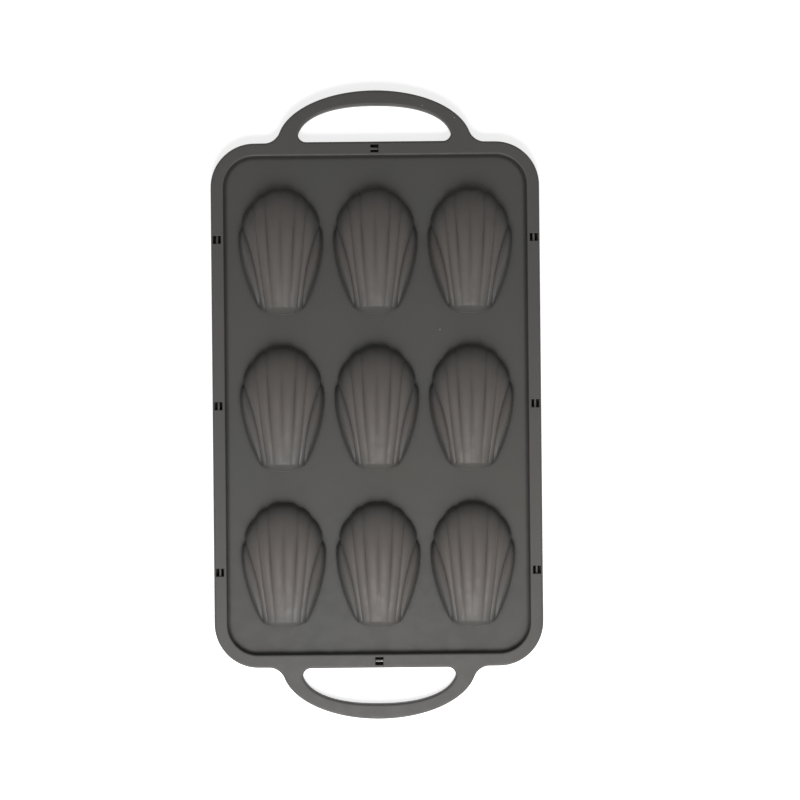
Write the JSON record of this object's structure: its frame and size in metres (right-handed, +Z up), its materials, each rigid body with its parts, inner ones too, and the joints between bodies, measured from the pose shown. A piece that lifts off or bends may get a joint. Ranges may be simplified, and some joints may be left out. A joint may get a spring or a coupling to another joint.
{
  "type": "silicone madeleine mold",
  "caption": "Flexible baking mold with shell-shaped fluted cups in a sheet, held in a wire-stiffened rim with a bow grip at each end.",
  "frame": {"origin": "middle of the footprint, on the plane of the rim's filling face that the mold lies on", "axes": "+Z up through the undersides of the cups, because the mold lies upside down as in the picture; +Y towards the rounded ends of the cups and along the length; +X to the right across the width. Turned half way round about X or Y it is ready for filling"},
  "size_m": [0.183, 0.35, 0.0173],
  "materials": {
    "tray_silicone": "matte dark warm grey food silicone",
    "rim_silicone": "matte dark grey food silicone, a shade lighter",
    "wire_steel": "drawn steel wire"
  },
  "bodies": {
    "root": {"cup_tray": "tray_silicone", "rim_with_grips": "rim_silicone", "rim_wire": "wire_steel", "grip_wire_far": "wire_steel", "grip_wire_near": "wire_steel"}
  },
  "joints": []
}
